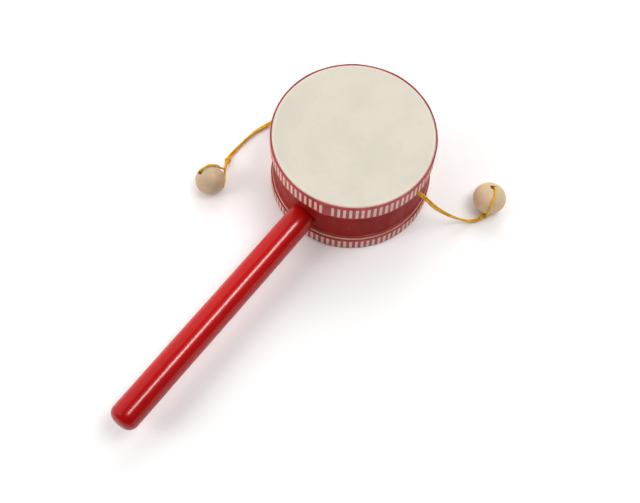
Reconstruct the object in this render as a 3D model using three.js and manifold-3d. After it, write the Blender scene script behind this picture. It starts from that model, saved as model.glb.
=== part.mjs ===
// A small rattle drum: a short wooden drum with two skins on a turned handle,
// and a striker bead on a doubled cord at each side. It lies on its lower skin.
// Millimetres, +Z up along the drum's axis, handle towards -Y,
// origin at the middle of the lower skin's outer face.

import * as THREE from "three";
import { mergeVertices } from "three/addons/utils/BufferGeometryUtils.js";
import Module from "manifold-3d";

const wasm = await Module();
wasm.setup();

// Drum, outside sizes
const drumDiameter = 80;
const drumHeight = 42.6;

// Layers from the outside in: tape over skin over wooden shell
const tapeThickness = 0.7;
const skinThickness = 0.6;
const shellWall = 5;
const layerGap = 0.2;

// Heights of the layers, each from its own end of the drum
const upperTapeHeight = 10.6;
const lowerTapeHeight = 8.1;
const tapeSetback = 0.2;
const upperSkirtHeight = 9.4;
const skinRounding = 1.0;
const shellEdgeRounding = 0.6;

// Handle, turned in one with the tenon that enters the shell
const handleLength = 132.7;
const handleEndDiameter = 14.2;
const handleNeckDiameter = 13.9;
const handleHeight = 17.1;
const skirtClearance = 0.3;
const domeLength = 5.6;
const domeFullness = 2.5;
const shoulderLength = 8;
const shoulderDiameter = 12.4;
const tenonDiameter = 11;
const tenonPassage = 4;
const seatGap = 0.3;
const socketClearance = 0.2;

// Cords: a doubled strand from the shell to a knot, then one loop through the bead
const strandDiameter = 0.95;
const cordDiameter = 2 * strandDiameter;
const cordHoleDiameter = 3.2;
const cordHoleHeight = 27.3;
const cordHoleSetback = 1;
const knotLength = 4.3;
const knotWidth = 2.7;

// Beads: across, and along the bore
const leftBeadDiameter = 14.8;
const leftBeadLength = 14.6;
const rightBeadDiameter = 16.5;
const rightBeadLength = 15;
const beadBoreDiameter = 2.6;
const beadMouthDiameter = 3.8;
const beadMouthDepth = 1.1;

// Facets
const drumFacets = 72;
const handleFacets = 32;
const boreFacets = 16;
const cordFacets = 8;
const roundSteps = 2;
const domeSteps = 7;
const shoulderSteps = 4;
const beadFacets = 24;
const beadBands = 14;
const knotFacets = 12;
const knotBands = 8;
const cutOverrun = 1;

// Worked-out radii and levels
const drumRadius = drumDiameter / 2;
const tapeInnerRadius = drumRadius - tapeThickness;
const skinRadius = tapeInnerRadius - layerGap;
const skinInnerRadius = skinRadius - skinThickness;
const shellRadius = skinInnerRadius - layerGap;
const shellInnerRadius = shellRadius - shellWall;
const shellBottom = skinThickness + layerGap;
const shellTop = drumHeight - shellBottom;
const handleEnd = -(shellRadius + handleLength);
const tenonEnd = -(shellInnerRadius - tenonPassage);
const lowerSkirtHeight = handleHeight - shoulderDiameter / 2 - skirtClearance;

const finish = {
  skin: new THREE.MeshStandardMaterial({ color: 0xded8c6, roughness: 0.6 }),
  tape: new THREE.MeshStandardMaterial({ color: 0xbe323c, roughness: 0.55 }),
  shell: new THREE.MeshStandardMaterial({ color: 0x7a2523, roughness: 0.4 }),
  handle: new THREE.MeshStandardMaterial({ color: 0xcd2d28, roughness: 0.25 }),
  cord: new THREE.MeshStandardMaterial({ color: 0xe6a51e, roughness: 0.5 }),
  bead: new THREE.MeshStandardMaterial({ color: 0xc8af96, roughness: 0.65 }),
};

// A geometry with only its positions, shared vertices merged, flat triangles dropped
function weld(geometry) {
  geometry.deleteAttribute("normal");
  geometry.deleteAttribute("uv");
  const merged = mergeVertices(geometry, 1e-4);
  const index = merged.index.array;
  const kept = [];
  for (let i = 0; i < index.length; i += 3) {
    const [a, b, c] = [index[i], index[i + 1], index[i + 2]];
    if (a !== b && b !== c && c !== a) {
      kept.push(a, b, c);
    }
  }
  merged.setIndex(kept);
  return merged;
}

function toSolid(geometry) {
  const welded = weld(geometry);
  return new wasm.Manifold(new wasm.Mesh({
    numProp: 3,
    vertProperties: new Float32Array(welded.attributes.position.array),
    triVerts: new Uint32Array(welded.index.array),
  }));
}

function toGeometry(solid) {
  const mesh = solid.getMesh();
  const geometry = new THREE.BufferGeometry();
  geometry.setAttribute("position", new THREE.BufferAttribute(mesh.vertProperties, 3));
  geometry.setIndex(new THREE.BufferAttribute(mesh.triVerts, 1));
  geometry.computeVertexNormals();
  return geometry;
}

// A profile of [radius, height] pairs turned about the Z axis
function turned(profile, facets) {
  const points = profile.map(([radius, height]) => new THREE.Vector2(radius, height));
  const geometry = new THREE.LatheGeometry(points, facets);
  geometry.rotateX(Math.PI / 2);
  return weld(geometry);
}

// Points of a quarter circle about a centre, from one angle to the next, in degrees
function arc(centreRadius, centreHeight, radius, from, to) {
  const points = [];
  for (let step = 0; step <= roundSteps; step += 1) {
    const angle = THREE.MathUtils.degToRad(from + ((to - from) * step) / roundSteps);
    points.push([
      centreRadius + radius * Math.cos(angle),
      centreHeight + radius * Math.sin(angle),
    ]);
  }
  return points;
}

// A straight round cutter between two points
function rod(start, end, startRadius, endRadius, facets) {
  const axis = end.clone().sub(start);
  const geometry = new THREE.CylinderGeometry(endRadius, startRadius, axis.length(), facets);
  const turn = new THREE.Quaternion().setFromUnitVectors(
    new THREE.Vector3(0, 1, 0),
    axis.clone().normalize(),
  );
  geometry.applyQuaternion(turn);
  geometry.translate(...start.clone().add(end).multiplyScalar(0.5).toArray());
  return toSolid(geometry);
}

// The wooden ring, with the handle's socket and a hole for each cord
function shellGeometry() {
  const r = shellEdgeRounding;
  const ring = toSolid(turned([
    ...arc(shellRadius - r, shellBottom + r, r, -90, 0),
    ...arc(shellRadius - r, shellTop - r, r, 0, 90),
    [shellInnerRadius, shellTop],
    [shellInnerRadius, shellBottom],
    [shellRadius - r, shellBottom],
  ], drumFacets));
  const socket = rod(
    new THREE.Vector3(0, -(shellInnerRadius - cutOverrun), handleHeight),
    new THREE.Vector3(0, -(shellRadius + cutOverrun), handleHeight),
    tenonDiameter / 2 + socketClearance,
    tenonDiameter / 2 + socketClearance,
    handleFacets,
  );
  let solid = ring.subtract(socket);
  for (const side of [-1, 1]) {
    const hole = rod(
      new THREE.Vector3(side * (shellInnerRadius - cutOverrun), cordHoleSetback, cordHoleHeight),
      new THREE.Vector3(side * (shellRadius + cutOverrun), cordHoleSetback, cordHoleHeight),
      cordHoleDiameter / 2,
      cordHoleDiameter / 2,
      boreFacets,
    );
    solid = solid.subtract(hole);
  }
  return toGeometry(solid);
}

// A skin: a flat disc turned down over the shell's rim as a skirt.
// Modelled facing up with its flat face at height zero.
function headGeometry(skirtHeight) {
  const outer = skinRounding;
  const inner = skinRounding - skinThickness;
  return turned([
    [0, -skinThickness],
    ...arc(skinInnerRadius - inner, -skinRounding, inner, 90, 0),
    [skinInnerRadius, -skirtHeight],
    [skinRadius, -skirtHeight],
    ...arc(skinRadius - outer, -outer, outer, 0, 90),
    [0, 0],
  ], drumFacets);
}

// A tape: a plain band round the skin and shell, from height zero upwards
function tapeGeometry(height) {
  return turned([
    [tapeInnerRadius, 0],
    [drumRadius, 0],
    [drumRadius, height],
    [tapeInnerRadius, height],
    [tapeInnerRadius, 0],
  ], drumFacets);
}

// The handle's turned outline as [radius, distance from its free end]
function handleProfile() {
  const endRadius = handleEndDiameter / 2;
  const neckRadius = handleNeckDiameter / 2;
  const shoulderRadius = shoulderDiameter / 2;
  const points = [];
  for (let step = 0; step <= domeSteps; step += 1) {
    const angle = (Math.PI / 2) * (step / domeSteps);
    points.push([
      endRadius * Math.sin(angle) ** (2 / domeFullness),
      domeLength * (1 - Math.cos(angle) ** (2 / domeFullness)),
    ]);
  }
  for (let step = 0; step <= shoulderSteps; step += 1) {
    const angle = (Math.PI / 2) * (step / shoulderSteps);
    points.push([
      shoulderRadius + (neckRadius - shoulderRadius) * Math.cos(angle),
      handleLength - shoulderLength * (1 - Math.sin(angle)),
    ]);
  }
  points.push([shoulderRadius, handleLength + shoulderSeatDepth()]);
  points.push([0, handleLength + shoulderSeatDepth()]);
  return points;
}

// How far the shell's curve falls back at the edge of the shoulder
function shoulderSeatDepth() {
  const shoulderRadius = shoulderDiameter / 2;
  return shellRadius - Math.sqrt(shellRadius ** 2 - shoulderRadius ** 2);
}

// The handle lies along Y; its shoulder is hollowed to sit against the shell
function handleGeometry() {
  const outline = turned(handleProfile(), handleFacets);
  outline.rotateX(-Math.PI / 2);
  outline.translate(0, handleEnd, handleHeight);
  const seat = rod(
    new THREE.Vector3(0, 0, -cutOverrun),
    new THREE.Vector3(0, 0, drumHeight + cutOverrun),
    shellRadius + seatGap,
    shellRadius + seatGap,
    drumFacets * 2,
  );
  const tenon = rod(
    new THREE.Vector3(0, -(shellRadius + seatGap + cutOverrun), handleHeight),
    new THREE.Vector3(0, tenonEnd, handleHeight),
    tenonDiameter / 2,
    tenonDiameter / 2,
    handleFacets,
  );
  return toGeometry(toSolid(outline).subtract(seat).add(tenon));
}

// A turned bead, bored along its length, which points in the given direction
function beadGeometry(diameter, length, boreDirection) {
  const ball = new THREE.SphereGeometry(diameter / 2, beadFacets, beadBands);
  ball.scale(1, length / diameter, 1);
  const end = length / 2;
  let solid = toSolid(ball).subtract(rod(
    new THREE.Vector3(0, -(end + cutOverrun), 0),
    new THREE.Vector3(0, end + cutOverrun, 0),
    beadBoreDiameter / 2,
    beadBoreDiameter / 2,
    boreFacets,
  ));
  for (const side of [-1, 1]) {
    solid = solid.subtract(rod(
      new THREE.Vector3(0, side * (end - beadMouthDepth), 0),
      new THREE.Vector3(0, side * end, 0),
      beadBoreDiameter / 2,
      beadMouthDiameter / 2,
      boreFacets,
    ));
  }
  const geometry = toGeometry(solid);
  geometry.applyQuaternion(new THREE.Quaternion().setFromUnitVectors(
    new THREE.Vector3(0, 1, 0),
    boreDirection.clone().normalize(),
  ));
  return geometry;
}

// A round tube along a smooth curve through the route's points
function tubeGeometry(route, diameter, steps) {
  const section = new THREE.Shape();
  for (let side = 0; side < cordFacets; side += 1) {
    const angle = (2 * Math.PI * side) / cordFacets;
    const x = (diameter / 2) * Math.cos(angle);
    const y = (diameter / 2) * Math.sin(angle);
    if (side === 0) {
      section.moveTo(x, y);
    } else {
      section.lineTo(x, y);
    }
  }
  section.closePath();
  const curve = new THREE.CatmullRomCurve3(route.map((point) => new THREE.Vector3(...point)));
  return weld(new THREE.ExtrudeGeometry(section, {
    steps,
    bevelEnabled: false,
    extrudePath: curve,
  }));
}

// The knot that closes the doubled cord, as its outer shape
function knotGeometry() {
  const geometry = new THREE.SphereGeometry(knotWidth / 2, knotFacets, knotBands);
  geometry.scale(1, knotLength / knotWidth, 1);
  return weld(geometry);
}

// Each side's cord. The routes start inside the shell's hole and end at the knot;
// the loop leaves the knot, goes over the bead, through its bore and back.
// The bead sits on the loop's point that is halfway along the bore.
const sides = [
  {
    name: "left",
    beadDiameter: leftBeadDiameter,
    beadLength: leftBeadLength,
    boreDirection: [-0.61, -0.22, 0.76],
    knotCentre: [-54.0, -32.2, 1.7],
    knotTurn: 20,
    cordSteps: 28,
    route: [
      [-35.8, 1.0, 27.3],
      [-38.6, 1.0, 27.3],
      [-40.4, 1.0, 27.0],
      [-41.8, 0.9, 25.9],
      [-43.0, 0.7, 22.5],
      [-44.6, 0.5, 17.5],
      [-46.3, 0.3, 12.5],
      [-48.0, -0.1, 7.8],
      [-49.8, -0.8, 3.8],
      [-51.3, -2.2, 1.4],
      [-53.2, -6.9, 1.0],
      [-54.6, -12.6, 1.0],
      [-54.9, -18.4, 1.0],
      [-55.0, -24.1, 1.0],
      [-54.9, -27.8, 1.1],
      [-54.8, -29.7, 1.4],
    ],
    loopSteps: 52,
    loopPointInBore: 14,
    loop: [
      [-53.0, -34.75, 1.05],
      [-52.6, -35.6, 1.05],
      [-52.35, -36.7, 1.8],
      [-52.2, -38.2, 4.2],
      [-52.2, -40.0, 7.8],
      [-52.25, -41.25, 11.2],
      [-52.9, -43.0, 13.6],
      [-53.9, -44.1, 14.1],
      [-55.0, -46.2, 14.6],
      [-55.3, -47.75, 14.7],
      [-55.8, -48.7, 14.4],
      [-55.8, -49.25, 13.6],
      [-55.25, -49.3, 12.6],
      [-53.9, -49.0, 10.6],
      [-51.5, -48.3, 7.5],
      [-49.0, -47.3, 4.6],
      [-47.6, -46.7, 2.9],
      [-46.7, -46.1, 1.75],
      [-46.35, -45.3, 1.15],
      [-46.6, -44.2, 0.9],
      [-47.4, -42.8, 0.9],
      [-48.6, -40.9, 1.0],
      [-50.15, -39.1, 1.6],
      [-51.1, -37.6, 2.6],
      [-51.9, -36.3, 3.1],
      [-52.9, -34.95, 2.9],
    ],
  },
  {
    name: "right",
    beadDiameter: rightBeadDiameter,
    beadLength: rightBeadLength,
    boreDirection: [-0.071, 0.359, 0.932],
    knotCentre: [66.1, 23.85, 1.65],
    knotTurn: -12,
    cordSteps: 22,
    route: [
      [35.8, 1.0, 27.3],
      [38.6, 1.0, 27.3],
      [40.9, 1.0, 27.1],
      [42.6, 1.1, 26.4],
      [44.1, 1.4, 25.3],
      [46.7, 2.3, 22.4],
      [49.3, 3.8, 18.8],
      [51.6, 6.0, 14.7],
      [53.8, 8.5, 10.4],
      [55.8, 10.7, 7.0],
      [58.0, 13.0, 4.2],
      [60.3, 15.0, 2.5],
      [62.5, 16.9, 1.4],
      [64.5, 19.3, 1.05],
      [65.5, 21.4, 1.3],
    ],
    loopSteps: 44,
    loopPointInBore: 12,
    loop: [
      [67.4, 23.75, 3.3],
      [68.0, 22.85, 5.4],
      [68.3, 22.2, 8.2],
      [68.05, 22.6, 10.9],
      [67.9, 24.1, 13.6],
      [67.55, 25.7, 15.0],
      [67.05, 27.3, 15.8],
      [66.4, 29.1, 16.4],
      [65.7, 30.6, 16.65],
      [64.95, 31.75, 16.5],
      [64.3, 32.4, 15.7],
      [64.0, 32.5, 14.6],
      [63.93, 29.95, 8.25],
      [64.45, 27.65, 2.6],
      [64.75, 27.1, 1.4],
      [65.3, 26.8, 0.8],
      [66.0, 26.65, 0.75],
      [66.6, 26.5, 1.0],
    ],
  },
];

function named(name, geometry, material) {
  const mesh = new THREE.Mesh(geometry, material);
  mesh.name = name;
  return mesh;
}

const drum = new THREE.Group();
drum.add(named("shell", shellGeometry(), finish.shell));

const upperEnd = new THREE.Group();
upperEnd.position.z = drumHeight;
upperEnd.add(named("upper_head", headGeometry(upperSkirtHeight), finish.skin));
const upperTape = named("upper_tape", tapeGeometry(upperTapeHeight - tapeSetback), finish.tape);
upperTape.position.z = -upperTapeHeight;
upperEnd.add(upperTape);
drum.add(upperEnd);

const lowerHead = named("lower_head", headGeometry(lowerSkirtHeight), finish.skin);
lowerHead.rotation.x = Math.PI;
drum.add(lowerHead);
const lowerTape = named("lower_tape", tapeGeometry(lowerTapeHeight - tapeSetback), finish.tape);
lowerTape.position.z = tapeSetback;
drum.add(lowerTape);

drum.add(named("handle", handleGeometry(), finish.handle));

for (const side of sides) {
  const strikers = new THREE.Group();
  const cord = tubeGeometry(side.route, cordDiameter, side.cordSteps);
  strikers.add(named(`${side.name}_cord`, cord, finish.cord));
  const knot = named(`${side.name}_knot`, knotGeometry(), finish.cord);
  knot.position.set(...side.knotCentre);
  knot.rotation.z = THREE.MathUtils.degToRad(side.knotTurn);
  strikers.add(knot);
  const loop = tubeGeometry(side.loop, strandDiameter, side.loopSteps);
  strikers.add(named(`${side.name}_loop`, loop, finish.cord));
  const direction = new THREE.Vector3(...side.boreDirection);
  const bead = named(
    `${side.name}_bead`,
    beadGeometry(side.beadDiameter, side.beadLength, direction),
    finish.bead,
  );
  bead.position.set(...side.loop[side.loopPointInBore]);
  strikers.add(bead);
  drum.add(strikers);
}

export default drum;
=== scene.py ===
"""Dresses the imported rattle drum: skins, striped tapes, lacquered wood, waxed cords and beads."""

import logging
import math
from dataclasses import dataclass, field
from enum import Enum
from typing import Callable, Sequence

import bmesh
import bpy
import numpy as np
from mathutils import Matrix, Vector


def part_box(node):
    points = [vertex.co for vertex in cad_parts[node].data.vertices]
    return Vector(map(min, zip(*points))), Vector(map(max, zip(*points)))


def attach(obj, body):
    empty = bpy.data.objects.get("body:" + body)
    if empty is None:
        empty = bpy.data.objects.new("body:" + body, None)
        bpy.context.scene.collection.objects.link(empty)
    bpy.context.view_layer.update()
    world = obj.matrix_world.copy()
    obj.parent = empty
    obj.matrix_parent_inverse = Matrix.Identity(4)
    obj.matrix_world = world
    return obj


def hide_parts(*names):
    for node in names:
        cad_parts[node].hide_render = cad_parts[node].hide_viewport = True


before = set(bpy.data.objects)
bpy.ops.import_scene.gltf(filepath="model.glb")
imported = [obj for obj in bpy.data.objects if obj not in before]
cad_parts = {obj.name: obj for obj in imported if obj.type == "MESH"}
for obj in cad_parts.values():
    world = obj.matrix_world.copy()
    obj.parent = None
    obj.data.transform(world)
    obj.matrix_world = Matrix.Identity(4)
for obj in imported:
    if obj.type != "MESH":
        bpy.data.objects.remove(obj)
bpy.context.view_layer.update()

LOG = logging.getLogger("rattle_drum")
MM = 0.001
WELD = 0.002 * MM
UV_NAME = "UVMap"
Point = tuple[float, float, float]
Colour = tuple[float, float, float]


class Place(Enum):
    """A named place on the drum."""

    @property
    def word(self) -> str:
        """The place's name as it stands in node names."""
        return self.name.lower()


class Side(Place):
    """The two ends of the cord axis, by their sign along X."""

    LEFT = -1
    RIGHT = 1


class End(Place):
    """The two ends of the drum, by the way their skin faces."""

    UPPER = 1
    LOWER = -1


# Surfaces


@dataclass
class Patch:
    """A grid of points, with a place on the unrolled surface for each, in millimetres."""

    points: np.ndarray
    unrolled: np.ndarray
    removed: np.ndarray | None = None

    def faces(self, first: int) -> tuple[np.ndarray, np.ndarray]:
        """Four-sided faces between neighbouring grid points.

        Args:
            first: The index of the patch's first vertex in the mesh.

        Returns:
            The faces as vertex indices, and each corner's unrolled place.
        """
        rows, columns = self.points.shape[:2]
        index = np.arange(rows * columns).reshape(rows, columns)
        around = (index[:-1, :-1], index[:-1, 1:], index[1:, 1:], index[1:, :-1])
        corners = np.stack(around, axis=-1)
        if self.removed is not None:
            corners = corners[~self.removed]
        corners = corners.reshape(-1, 4)
        return corners + first, self.unrolled.reshape(-1, 2)[corners]


def make_piece(name: str, patches: Sequence[Patch]) -> bpy.types.Object:
    """Joins patches into one closed mesh object at the origin.

    Args:
        name: The object's name.
        patches: The surfaces, which meet point for point where they join.

    Returns:
        The new object, with seams and poles merged and faces turned outwards.
    """
    points, faces, corners, first = [], [], [], 0
    for patch in patches:
        quads, places = patch.faces(first)
        points.append(patch.points.reshape(-1, 3))
        faces.append(quads)
        corners.append(places)
        first += len(points[-1])
    mesh = bpy.data.meshes.new(name)
    mesh.from_pydata(np.concatenate(points).tolist(), [], np.concatenate(faces).tolist())
    layer = mesh.uv_layers.new(name=UV_NAME)
    layer.data.foreach_set("uv", np.concatenate(corners).astype(np.float32).ravel())
    shell = bmesh.new()
    shell.from_mesh(mesh)
    bmesh.ops.remove_doubles(shell, verts=shell.verts, dist=WELD)
    bmesh.ops.recalc_face_normals(shell, faces=shell.faces)
    shell.to_mesh(mesh)
    shell.free()
    mesh.polygons.foreach_set("use_smooth", np.ones(len(mesh.polygons), dtype=bool))
    piece = bpy.data.objects.new(name, mesh)
    bpy.context.scene.collection.objects.link(piece)
    return piece


def arc(centre: Sequence[float], radius: float, start: float, stop: float, steps: int) -> np.ndarray:
    """Points of a circular arc.

    Args:
        centre: The centre as (radius, height).
        radius: The arc's radius.
        start: The first angle in degrees, from the outward direction up.
        stop: The last angle in degrees.
        steps: How many spans the arc has.

    Returns:
        An array of (radius, height) pairs: centre + radius * (cos, sin).
    """
    angle = np.radians(np.linspace(start, stop, steps + 1))
    return np.array(centre) + radius * np.stack([np.cos(angle), np.sin(angle)], axis=-1)


def run_length(profile: np.ndarray) -> np.ndarray:
    """Distance run along a profile up to each of its points."""
    steps = np.linalg.norm(np.diff(profile, axis=0), axis=1)
    return np.concatenate([[0.0], np.cumsum(steps)])


def revolve(
    profile: np.ndarray,
    columns: int,
    start: float = 0.0,
    shift: Callable[[np.ndarray, np.ndarray], tuple[np.ndarray, np.ndarray]] | None = None,
) -> Patch:
    """A profile of (radius, height) pairs turned about Z.

    The point at angle t and profile place s is (r(s) cos t, r(s) sin t, h(s)).

    Args:
        profile: The (radius, height) pairs in metres.
        columns: How many spans one turn has.
        start: The angle of the seam in radians.
        shift: Gives offsets in radius and height from the angle and the profile's index.

    Returns:
        The turned surface, unrolled as arc length by profile length.
    """
    angle = start + np.linspace(0.0, 2 * np.pi, columns + 1)
    turn, place = np.meshgrid(angle, np.arange(len(profile)))
    radius, height = profile[place, 0], profile[place, 1]
    if shift is not None:
        out, up = shift(turn, place)
        radius, height = radius + out, height + up
    points = np.stack([radius * np.cos(turn), radius * np.sin(turn), height], axis=-1)
    around = (turn - start) * profile[:, 0].max() / MM
    along = run_length(profile)[place] / MM
    return Patch(points, np.stack([around, along], axis=-1))


def ripple(angle: np.ndarray, waves: Sequence[tuple[int, float, float]]) -> np.ndarray:
    """A sum of sines round a circle: each wave is (count, height, phase in radians)."""
    total = np.zeros_like(angle)
    for count, height, phase in waves:
        total = total + height * np.sin(count * angle + phase)
    return total


def smooth_step(value: np.ndarray, low: float, high: float) -> np.ndarray:
    """Rises from 0 at low to 1 at high as t * t * (3 - 2 t)."""
    t = np.clip((value - low) / (high - low), 0.0, 1.0)
    return t * t * (3 - 2 * t)


# Paths


def smooth_path(route: Sequence[Point], spacing: float) -> np.ndarray:
    """A centripetal Catmull-Rom curve through the route's points.

    Each span is a cubic Hermite curve whose end slopes come from the square roots of the
    distances between four neighbouring points.

    Args:
        route: The points in metres.
        spacing: The wanted distance between samples in metres.

    Returns:
        The curve's points, evenly spaced along it.
    """
    given = np.array(route, float)
    ends = np.concatenate([[2 * given[0] - given[1]], given, [2 * given[-1] - given[-2]]])
    knot = np.sqrt(np.linalg.norm(np.diff(ends, axis=0), axis=1))
    before, span, after = knot[:-2, None], knot[1:-1, None], knot[2:, None]
    p0, p1, p2, p3 = ends[:-3], ends[1:-2], ends[2:-1], ends[3:]
    slope_in = ((p1 - p0) / before - (p2 - p0) / (before + span) + (p2 - p1) / span) * span
    slope_out = ((p2 - p1) / span - (p3 - p1) / (span + after) + (p3 - p2) / after) * span
    t = np.linspace(0.0, 1.0, 40, endpoint=False)[None, :, None]
    a, b = p1[:, None], p2[:, None]
    m, n = slope_in[:, None], slope_out[:, None]
    curve = (
        (2 * t**3 - 3 * t**2 + 1) * a
        + (t**3 - 2 * t**2 + t) * m
        + (3 * t**2 - 2 * t**3) * b
        + (t**3 - t**2) * n
    )
    dense = np.concatenate([curve.reshape(-1, 3), given[-1:]])
    run = run_length(dense)
    even = np.linspace(0.0, run[-1], max(8, int(round(run[-1] / spacing))) + 1)
    return np.stack([np.interp(even, run, dense[:, k]) for k in range(3)], axis=-1)


def carried_frames(path: np.ndarray) -> tuple[np.ndarray, np.ndarray]:
    """Two side directions carried along a path without twist.

    Each station's side direction is the last one, turned by what the tangent turned.

    Args:
        path: The path's points.

    Returns:
        The two unit side directions at each point.
    """
    tangent = np.gradient(path, axis=0)
    tangent /= np.linalg.norm(tangent, axis=1, keepdims=True)
    first = np.cross(tangent[0], [0.0, 0.0, 1.0])
    if np.linalg.norm(first) < 0.1:
        first = np.cross(tangent[0], [0.0, 1.0, 0.0])
    sides = [first / np.linalg.norm(first)]
    for heading in tangent[1:]:
        side = sides[-1] - heading * np.dot(sides[-1], heading)
        sides.append(side / np.linalg.norm(side))
    side = np.array(sides)
    return side, np.cross(tangent, side)


def tube(
    path: np.ndarray,
    radius: Callable[[np.ndarray, np.ndarray], np.ndarray],
    facets: int,
    capped: bool = True,
) -> Patch:
    """A tube along a path: path + radius(angle, run) * (cos side + sin other side).

    Args:
        path: The centre line's points.
        radius: Gives the radius from the angle and the distance run, both as grids.
        facets: How many spans the section has.
        capped: Whether the ends close to a point.

    Returns:
        The tube's surface, unrolled as distance round by distance along.
    """
    side, other = carried_frames(path)
    run = run_length(path)
    angle = np.linspace(0.0, 2 * np.pi, facets + 1)
    turn, place = np.meshgrid(angle, np.arange(len(path)))
    size = radius(turn, run[place])
    mean = float(size.mean())
    if capped:
        size = np.concatenate([0 * size[:1], size, 0 * size[-1:]])
        place = np.concatenate([place[:1], place, place[-1:]])
        turn = np.concatenate([turn[:1], turn, turn[-1:]])
    reach = np.cos(turn)[..., None] * side[place] + np.sin(turn)[..., None] * other[place]
    points = path[place] + size[..., None] * reach
    unrolled = np.stack([turn * mean, run[place]], axis=-1) / MM
    return Patch(points, unrolled)


# Shader nodes


class Graph:
    """A node tree with short ways to add nodes and join them."""

    def __init__(self, tree: bpy.types.NodeTree) -> None:
        """Keeps the tree that the nodes are added to."""
        self.tree = tree

    def node(self, kind: str, inputs: dict | None = None, **settings: object) -> bpy.types.Node:
        """Adds a node.

        Args:
            kind: The node's type name.
            inputs: Values or sockets for its inputs, by name or number.
            settings: The node's own settings.

        Returns:
            The new node.
        """
        made = self.tree.nodes.new(kind)
        for key, value in settings.items():
            setattr(made, key, value)
        self.fill(made, inputs or {})
        return made

    def fill(self, node: bpy.types.Node, inputs: dict) -> None:
        """Links or sets several inputs of a node, by name or number."""
        for key, value in inputs.items():
            self.feed(node.inputs[key], value)

    def feed(self, socket: bpy.types.NodeSocket, value: object) -> None:
        """Links a socket to another, or sets its value."""
        if isinstance(value, bpy.types.NodeSocket):
            self.tree.links.new(value, socket)
        elif isinstance(value, tuple) and len(value) == 3 and socket.type == "RGBA":
            socket.default_value = (*value, 1.0)
        else:
            socket.default_value = value

    def math(self, operation: str, *values: object) -> bpy.types.NodeSocket:
        """The result of a Math node."""
        return self.node("ShaderNodeMath", dict(enumerate(values)), operation=operation).outputs[0]

    def times(self, one: object, other: object) -> bpy.types.NodeSocket:
        """The product of two values."""
        return self.math("MULTIPLY", one, other)

    def plus(self, one: object, other: object) -> bpy.types.NodeSocket:
        """The sum of two values."""
        return self.math("ADD", one, other)

    def less(self, one: object, other: object) -> bpy.types.NodeSocket:
        """One value less another."""
        return self.math("SUBTRACT", one, other)

    def distance(self, across: object, along: object) -> bpy.types.NodeSocket:
        """The square root of the sum of two squares."""
        squares = [self.math("POWER", part, 2.0) for part in (across, along)]
        return self.math("SQRT", self.plus(*squares))

    def blend(self, mask: object, low: object, high: object) -> bpy.types.NodeSocket:
        """A colour between low and high, by a mask from 0 to 1."""
        made = self.node("ShaderNodeMix", data_type="RGBA")
        self.fill(made, {0: mask, 6: low, 7: high})
        return made.outputs[2]

    def remap(
        self, value: object, low: float, high: float, to_low: float = 0.0, to_high: float = 1.0
    ) -> bpy.types.NodeSocket:
        """A value carried from one range to another, smoothly and held at both ends."""
        given = dict(enumerate((value, low, high, to_low, to_high)))
        return self.node("ShaderNodeMapRange", given, interpolation_type="SMOOTHSTEP").outputs[0]

    def noise(
        self, where: object, scale: object, detail: float, rough: float
    ) -> bpy.types.NodeSocket:
        """A noise value from 0 to 1."""
        given = {"Vector": where, "Scale": scale, "Detail": detail, "Roughness": rough}
        return self.node("ShaderNodeTexNoise", given).outputs["Fac"]

    def stretched(
        self, where: object, scale: Point, turn: Point = (0.0, 0.0, 0.0)
    ) -> bpy.types.NodeSocket:
        """A place scaled and turned, in radians, for a pattern that runs one way."""
        given = {"Vector": where, "Scale": scale, "Rotation": turn}
        return self.node("ShaderNodeMapping", given).outputs[0]

    def own_place(self) -> bpy.types.NodeSocket:
        """The piece's own place in metres."""
        return self.node("ShaderNodeTexCoord").outputs["Object"]

    def unrolled(self) -> tuple[bpy.types.NodeSocket, bpy.types.NodeSocket, bpy.types.NodeSocket]:
        """The place on the unrolled surface in millimetres: both numbers, then the pair."""
        pair = self.node("ShaderNodeUVMap", uv_map=UV_NAME).outputs[0]
        parts = self.node("ShaderNodeSeparateXYZ", {0: pair})
        return parts.outputs[0], parts.outputs[1], pair

    def bump(self, height: object, depth: float, normal: object = None) -> bpy.types.NodeSocket:
        """A normal turned by a height from 0 to 1 of the given depth in metres."""
        given = {"Strength": 1.0, "Distance": depth, "Height": height}
        if normal is not None:
            given["Normal"] = normal
        return self.node("ShaderNodeBump", given).outputs[0]


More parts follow.
